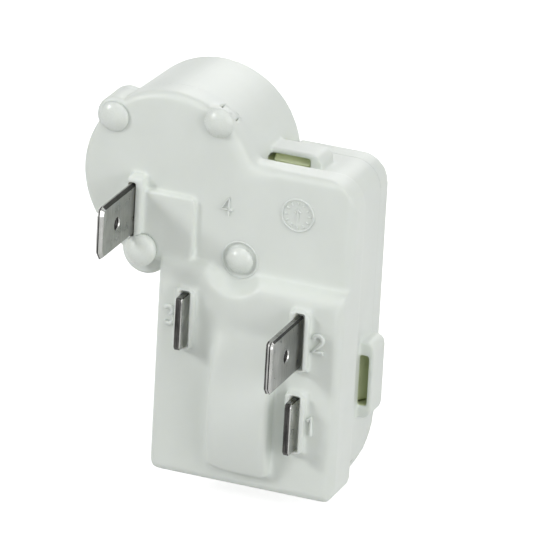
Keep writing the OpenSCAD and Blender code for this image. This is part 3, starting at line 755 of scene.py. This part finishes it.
# %% White mouldings
EAR = [((6.5, 4.6, 43.9), (6.5, 4.6, 43.9), 3.4)]
RIM_RIGHT = [((9.0, STEP, 40.4), (10.2, STEP, 38.0), 2.2)]
STEP_FOOT = [((0.5, STEP, 26.0), (6.0, STEP, 26.0), 1.3),
             ((12.5, STEP, 25.5), (22.3, STEP, 25.5), 1.3)]
SCALLOP = [((5.8, 0.4, 24.9), (9.2, 0.2, 23.2), 2.4), ((9.2, 0.2, 23.2), (12.6, 0.4, 24.9), 2.4)]
FOOT = [((9.6, 2.6, 37.6), (9.6, 2.6, 37.6), 1.6)]
BULGE = [((7.6, 0.0, 2.4), (15.0, 0.0, 2.4), 1.4), ((7.4, 0.0, 19.2), (15.0, 0.0, 19.2), 1.0),
         ((15.8, -1.5, 2.7), (15.8, -1.5, 2.7), 2.0), ((15.8, -2.2, 5.0), (15.8, -2.2, 17.0), 0.9)]
TOP_EDGES = [((0.5, 0.3, 25.1), (4.6, 0.3, 25.1), 1.6), ((13.5, 0.3, 24.6), (22.0, 0.3, 24.6), 1.4)]
MELTED = TOP_EDGES + EAR + RIM_RIGHT + STEP_FOOT + SCALLOP + FOOT + BULGE
FADED = [((7.5, -0.5, 3.4), (7.5, -0.5, 18.0), 2.8), ((8.7, 2.7, 41.2), (10.3, 2.7, 38.4), 2.8),
         ((6.7, 3.9, 44.0), (6.7, 3.9, 44.0), 2.6)]
HOUSE_EAR = [((6.4, 6.2, 43.6), (6.4, 6.2, 43.6), 2.6)]
soft_moulding("front_cover", "cover_moulding", voxel_mm=0.14, passes=8, most=180000,
              melted=MELTED, melt_passes=60, shape=shape_cover, cutters=slot_mouths, faded=FADED)
house = soft_moulding("housing", "housing_moulding", voxel_mm=0.16, passes=6, most=170000,
                      melted=HOUSE_EAR, melt_passes=40, shape=shape_heads, cutters=window_corner)
soft_moulding("rear_cover", "rear_moulding", voxel_mm=0.16, passes=6, most=110000,
              shape=shape_tongues)
house.data.materials.append(MELTED_WHITE)
for face in house.data.polygons:
    middle = (face.center - CORNER) / MM
    if middle.y < STEP and on_head(middle):
        face.material_index = 1

# %% [markdown]
# The tabs are blades of plated strip. The press coins their edges, so each blade gets thinner
# towards its rim, and where the strip is folded double a fine groove runs round the rim. A blade is
# built as rings across its thickness, with bands of different brightness between them, and closed
# by two flats, which hold a hole with a broken edge in the long tabs. The darker cut bands and the
# lighter coined bands are partly painted shade and painted light, and two corners carry a painted
# highlight.

# %% Flat tabs
# Material slots of a blade, and the segments of its outline: the top edge and two corners that
# carry a painted highlight
PLATED, CUT_AND_SHADE, COINED_AND_LIT, PAINTED_HIGHLIGHT, SHORT_PAINTED_LIGHT = 0, 1, 2, 3, 4
TOP_EDGE, HIGHLIGHT_SEGMENTS = 2, (3, 6)
# Across a blade's edge: place from its middle, depth below the outline, finish up to there.
# A folded blade shows both its layers, a single one is coined round.
FOLDED_EDGE = [(-0.40, 0.12, CUT_AND_SHADE), (-0.32, 0.0, COINED_AND_LIT), (-0.12, 0.0, CUT_AND_SHADE), (0.02, 0.1, PLATED),
               (0.06, 0.14, CUT_AND_SHADE), (0.09, 0.02, CUT_AND_SHADE), (0.20, 0.0, CUT_AND_SHADE), (0.40, 0.26, COINED_AND_LIT)]
SHORT_EDGE = [(-0.40, 0.08, CUT_AND_SHADE), (-0.34, 0.0, COINED_AND_LIT), (-0.05, 0.0, CUT_AND_SHADE), (0.0, 0.05, CUT_AND_SHADE),
              (0.05, 0.0, CUT_AND_SHADE), (0.30, 0.0, CUT_AND_SHADE), (0.40, 0.12, COINED_AND_LIT)]
SINGLE_EDGE = [(-0.40, 0.26, CUT_AND_SHADE), (-0.16, 0.0, COINED_AND_LIT), (0.02, 0.0, CUT_AND_SHADE), (0.40, 0.34, COINED_AND_LIT)]
# The corners at the tip are cut steeper than 45 degrees, and the upper one is crowned
CORNER_RISE, CORNER_CROWN = 1.3, 0.25
HOLE_R, HOLE_BREAK, THROAT = 0.72, 0.1, 0.28
EDGE_BREAK = 0.045


def inset(outline, by):
    """Moves each side of a closed outline, given anticlockwise, inwards by the same width."""
    moved = []
    count = len(outline)
    for i, point in enumerate(outline):
        before = Vector(outline[i - 1])
        here = Vector(point)
        after = Vector(outline[(i + 1) % count])
        first = (here - before).normalized()
        second = (after - here).normalized()
        normal_a = Vector((-first.y, first.x))
        normal_b = Vector((-second.y, second.x))
        bisector = (normal_a + normal_b) / (1 + normal_a.dot(normal_b))
        moved.append(tuple(here + bisector * by))
    return moved


def circle_points(y, z, radius, count=28):
    steps = (2 * math.pi * i / count for i in range(count))
    return [(y + radius * math.cos(t), z + radius * math.sin(t)) for t in steps]


def ring_of(shell, outline, x):
    return [shell.verts.new(at(x, y, z)) for y, z in outline]


def cap(shell, rings, material):
    """Fills the flat inside the first ring and outside the others."""
    edges = []
    for ring in rings:
        for i, vert in enumerate(ring):
            pair = (vert, ring[(i + 1) % len(ring)])
            edges.append(shell.edges.get(pair) or shell.edges.new(pair))
    filled = bmesh.ops.triangle_fill(shell, use_beauty=True, edges=edges)["geom"]
    for item in filled:
        if isinstance(item, bmesh.types.BMFace):
            item.material_index = material


def blade(shell, x, z, tip_y, root_y, corner, hole_y=None, edge=FOLDED_EDGE, face=PLATED):
    """One tab from x to x + TAB_T, its lower edge at z, its tip at tip_y."""
    mid = x + TAB_T / 2
    rise = CORNER_RISE * corner
    outline = [(tip_y + corner, z), (root_y, z), (root_y, z + TAB_W)]
    for turn in (0, 0.25, 0.5, 0.75, 1):
        crown = CORNER_CROWN * math.sin(math.pi * turn)
        outline.append((tip_y + corner * (1 - turn - crown), z + TAB_W - rise * (turn - crown)))
    outline.append((tip_y, z + rise))
    across = [ring_of(shell, inset(outline, depth), mid + offset) for offset, depth, _ in edge]
    for before, after, (_, _, finish) in zip(across, across[1:], edge[1:]):
        faces = bridge(shell, before, after, finish)
        # The top edge of a coined band takes the darker cut finish, and two corner segments take
        # the painted highlight
        faces[TOP_EDGE].material_index = CUT_AND_SHADE if finish == COINED_AND_LIT else PLATED
        if finish == COINED_AND_LIT:
            for segment in HIGHLIGHT_SEGMENTS:
                faces[segment].material_index = PAINTED_HIGHLIGHT
    for side, flat in ((-1, across[0]), (1, across[-1])):
        rings = [flat]
        if hole_y is not None:
            wide = circle_points(hole_y, z + TAB_W / 2, HOLE_R + HOLE_BREAK)
            narrow = circle_points(hole_y, z + TAB_W / 2, HOLE_R)
            mouth = ring_of(shell, wide, mid + side * TAB_T / 2)
            throat = ring_of(shell, narrow, mid + side * THROAT)
            bridge(shell, mouth, throat, COINED_AND_LIT)
            rings.append(mouth)
            if side < 0:
                far_throat = throat
            else:
                bridge(shell, far_throat, throat, CUT_AND_SHADE)
        cap(shell, rings, face)


def terminal_piece(node_name, name, cut_y, blades, plated=TIN_PAINTED_ROOT_SHADE):
    """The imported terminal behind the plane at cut_y, and new blades in front of it."""
    mesh = merged_copy(node_name)
    shell = bmesh.new()
    shell.from_mesh(mesh)
    geometry = shell.verts[:] + shell.edges[:] + shell.faces[:]
    cut = bmesh.ops.bisect_plane(shell, geom=geometry, plane_co=at(0, cut_y, 0),
                                 plane_no=(0, -1, 0), clear_outer=True, dist=1e-7)
    rim = [item for item in cut["geom_cut"] if isinstance(item, bmesh.types.BMEdge)]
    bmesh.ops.triangle_fill(shell, use_beauty=True, edges=rim)
    for sizes in blades:
        blade(shell, root_y=cut_y, **sizes)
    bmesh.ops.recalc_face_normals(shell, faces=shell.faces)
    mesh.materials.clear()
    for finish in (plated, TIN_CUT_AND_PAINTED_SHADE, TIN_COINED_AND_PAINTED_LIGHT, TIN_PAINTED_HIGHLIGHT, TIN_SHORT_PAINTED_LIGHT):
        mesh.materials.append(finish)
    shell.to_mesh(mesh)
    shell.free()
    obj = linked(name, mesh)
    edge_break = obj.modifiers.new("edge_break", "BEVEL")
    edge_break.width = EDGE_BREAK * MM
    edge_break.segments = 2
    edge_break.limit_method = "ANGLE"
    edge_break.angle_limit = math.radians(20)
    edge_break.use_clamp_overlap = True
    return settle(obj, "tinned_brass", node_name)


# Where the new blades begin, inside the block's slots and inside the plate's
BLOCK_CUT, PLATE_CUT = 0.6, 2.6
LOW_TIP = -2.8
RUN_HOLE, LINE_HOLE = 4.6, 4.3
terminal_piece("start_terminal", "start_tab", BLOCK_CUT, [
    {"x": start_x, "z": TAB_Z, "tip_y": start_tip, "corner": 0.3, "edge": SHORT_EDGE,
     "face": SHORT_PAINTED_LIGHT}])
terminal_piece("run_terminal", "run_tab", BLOCK_CUT, [
    {"x": run_x, "z": TAB_Z, "tip_y": run_tip, "corner": 0.55, "hole_y": run_tip + RUN_HOLE},
    {"x": run_x, "z": LOW_TAB_Z, "tip_y": LOW_TIP, "corner": 0.35, "edge": SHORT_EDGE,
     "face": SHORT_PAINTED_LIGHT}])
terminal_piece("overload_terminal", "line_tab", PLATE_CUT, [
    {"x": line_x, "z": LINE_TAB_Z, "tip_y": line_tip, "corner": 0.75,
     "hole_y": line_tip + LINE_HOLE, "edge": SINGLE_EDGE}], plated=TIN_LINE_PAINTED_LIGHT)

# %% [markdown]
# The plain digits beside the tabs stand proud of the face with a rounded section. Each is a
# line drawn as a curve, and one Geometry Nodes tree sweeps a circle along it, half sunk in the
# face. The same tree serves every raised line on the relay.

# %% Raised lines
sweep = bpy.data.node_groups.new("raised_line", "GeometryNodeTree")
sweep.interface.new_socket("Line", in_out="INPUT", socket_type="NodeSocketGeometry")
sweep.interface.new_socket("Radius", in_out="INPUT", socket_type="NodeSocketFloat")
sweep.interface.new_socket("Finish", in_out="INPUT", socket_type="NodeSocketMaterial")
sweep_in = node(sweep, "NodeGroupInput")
sweep_out = node(sweep, "NodeGroupOutput")
sweep.interface.new_socket("Raised", in_out="OUTPUT", socket_type="NodeSocketGeometry")
section = node(sweep, "GeometryNodeCurvePrimitiveCircle", {"Resolution": 12},
               {"Radius": sweep_in.outputs["Radius"]})
swept = node(sweep, "GeometryNodeCurveToMesh", {"Fill Caps": True},
             {"Curve": sweep_in.outputs["Line"], "Profile Curve": section.outputs[0]})
smooth = node(sweep, "GeometryNodeSetShadeSmooth", None, {0: swept.outputs[0]})
real = node(sweep, "GeometryNodeRealizeInstances", None, {0: smooth.outputs[0]})
dressed = node(sweep, "GeometryNodeSetMaterial", None,
               {0: real.outputs[0], "Material": sweep_in.outputs["Finish"]})
sweep.links.new(dressed.outputs[0], sweep_out.inputs["Raised"])


def set_input(modifier, tree, label, value):
    for item in tree.interface.items_tree:
        if item.item_type == "SOCKET" and item.in_out == "INPUT" and item.name == label:
            modifier[item.identifier] = value
            return
    raise KeyError(label)


def arc_points(x, z, radius, start, end, count=12):
    turns = (math.radians(start + (end - start) * i / count) for i in range(count + 1))
    return [(x + radius * math.cos(t), z + radius * math.sin(t)) for t in turns]


def raised_lines(name, x, y, z, strokes, radius_mm):
    """A piece that follows strokes, given in x and z from a place on a face."""
    curve = bpy.data.curves.new(name, "CURVE")
    curve.dimensions = "3D"
    for stroke in strokes:
        spline = curve.splines.new("POLY")
        closed = stroke[0] == stroke[-1]
        points = stroke[:-1] if closed else stroke
        spline.points.add(len(points) - 1)
        spline.use_cyclic_u = closed
        for point, (u, v) in zip(spline.points, points):
            point.co = (*at(x + u, y, z + v), 1)
    obj = linked(name + "_line", curve)
    modifier = obj.modifiers.new("sweep", "NODES")
    modifier.node_group = sweep
    set_input(modifier, sweep, "Radius", radius_mm * MM)
    set_input(modifier, sweep, "Finish", WHITE)
    mesh = evaluated_mesh(obj)
    bpy.data.objects.remove(obj)
    piece = linked(name, mesh)
    return settle(piece, "white_plastic")


DIGIT_1 = [[(-0.4, 1.7), (0, 2.1), (0, 0)]]
DIGIT_2 = [arc_points(0.65, 1.5, 0.55, 165, -40) + [(0.05, 0), (1.3, 0)]]
DIGIT_3 = [arc_points(0.7, 1.58, 0.5, 150, -75) + arc_points(0.7, 0.55, 0.57, 75, -150)]
DIGIT_4 = [[(0.95, 0), (0.95, 2.1), (0, 0.7), (1.4, 0.7)]]
# Middle of a digit's line in front of the block's face, and of the upper plate's marks
PROUD, PLATE_DIGIT, PLATE_DIAL = -0.14, STEP - 0.06, STEP - 0.04
raised_lines("digit_1", 19.75, PROUD, 8.3, DIGIT_1, 0.27)
raised_lines("digit_2", 19.4, PROUD, 18.5, DIGIT_2, 0.26)
raised_lines("digit_3", 1.05, PROUD, 18.5, DIGIT_3, 0.26)
raised_lines("digit_4", 6.6, PLATE_DIGIT, 32.0, DIGIT_4, 0.17)

# Ring of the tool's insert round the third head, and a plain dial with twelve ticks
raised_lines("ring", 9.2, STEP, 26.9, [arc_points(0, 0, 2.15, 0, 360, 48)], 0.1)
TICKS = [[(r * math.cos(t), r * math.sin(t)) for r in (1.25, 1.55)]
         for t in (math.radians(30 * i) for i in range(12))]
ARROW = [[(0, -0.7), (0, 0.75)], [(-0.35, 0.3), (0, 0.75), (0.35, 0.3)]]
DIAL = [arc_points(0, 0, 1.9, 0, 360, 48)] + TICKS + ARROW
raised_lines("dial", 15.9, PLATE_DIAL, 33.6, DIAL, 0.12)

# Marks of three ejector pins at the back
for number, (x, z) in enumerate([(4.2, 3.5), (15.4, 3.5), (15.4, 24.5)], 1):
    raised_lines(f"ejector_mark_{number}", x, BODY_D, z, [arc_points(0, 0, 1.3, 0, 360, 40)], 0.08)

# %% [markdown]
# Floor and light. The backdrop is plain white, so the floor and the world show white to the
# camera and to reflections, while the lamps and a soft sky light the relay at a plain level.

# %% Floor


def light_path_mask(tree, *names):
    path = node(tree, "ShaderNodeLightPath")
    mask = path.outputs[names[0]]
    for name in names[1:]:
        mask = math_node(tree, "MAXIMUM", mask, path.outputs[name])
    return mask


FLOOR_HALF = 3.0
FLOOR_GAP_MM = 0.01
floor_z = rear_low.z - FLOOR_GAP_MM * MM
floor_mesh = bpy.data.meshes.new("floor")
corners = [(-FLOOR_HALF, -FLOOR_HALF), (FLOOR_HALF, -FLOOR_HALF), (FLOOR_HALF, FLOOR_HALF),
           (-FLOOR_HALF, FLOOR_HALF)]
floor_mesh.from_pydata([(x, y, floor_z) for x, y in corners], [], [(0, 1, 2, 3)])
floor = linked("floor", floor_mesh)
floor_finish, floor_tree, floor_shader = finish_base("floor_white", 0, 0.9)
floor_shader.inputs["Base Color"].default_value = (0.6, 0.6, 0.6, 1)
glow = node(floor_tree, "ShaderNodeEmission", {"Color": (1, 1, 1, 1), "Strength": 0.8})
both = node(floor_tree, "ShaderNodeAddShader", None,
            {0: floor_shader.outputs[0], 1: glow.outputs[0]})
seen = light_path_mask(floor_tree, "Is Camera Ray", "Is Glossy Ray", "Is Transmission Ray")
chosen_floor = node(floor_tree, "ShaderNodeMixShader", None,
                    {0: seen, 1: floor_shader.outputs[0], 2: both.outputs[0]})
floor_output = [n for n in floor_tree.nodes if n.type == "OUTPUT_MATERIAL"][0]
floor_tree.links.new(chosen_floor.outputs[0], floor_output.inputs["Surface"])
floor_mesh.materials.append(floor_finish)

# %% Sky and lamps
world = bpy.data.worlds.new("studio")
SCENE.world = world
world.use_nodes = True
world_tree = world.node_tree
world_tree.nodes.clear()
soft_sky = node(world_tree, "ShaderNodeBackground",
                {"Color": (0.95, 0.98, 1.0, 1), "Strength": 0.22})
white_sky = node(world_tree, "ShaderNodeBackground", {"Color": (1, 1, 1, 1), "Strength": 1.0})
sky_seen = light_path_mask(world_tree, "Is Camera Ray", "Is Glossy Ray", "Is Transmission Ray")
sky = node(world_tree, "ShaderNodeMixShader", None,
           {0: sky_seen, 1: soft_sky.outputs[0], 2: white_sky.outputs[0]})
node(world_tree, "ShaderNodeOutputWorld", None, {"Surface": sky.outputs[0]})


def lamp(name, place, size, watts):
    data = bpy.data.lights.new(name, "AREA")
    data.shape = "DISK"
    data.size = size
    data.energy = watts
    obj = linked(name, data)
    obj.location = place
    obj.rotation_euler = (-Vector(place)).to_track_quat("-Z", "Y").to_euler()
    return obj


lamp("key_from_left", (-0.36, -0.32, 0.24), 0.15, 1.08)
lamp("soft_top", (0.10, -0.20, 0.46), 0.45, 0.74)
lamp("fill_from_right", (0.43, -0.20, 0.14), 0.30, 1.0)
lamp("fill_from_behind", (-0.05, 0.45, 0.25), 0.35, 0.8)
SCENE.view_settings.view_transform = "Standard"
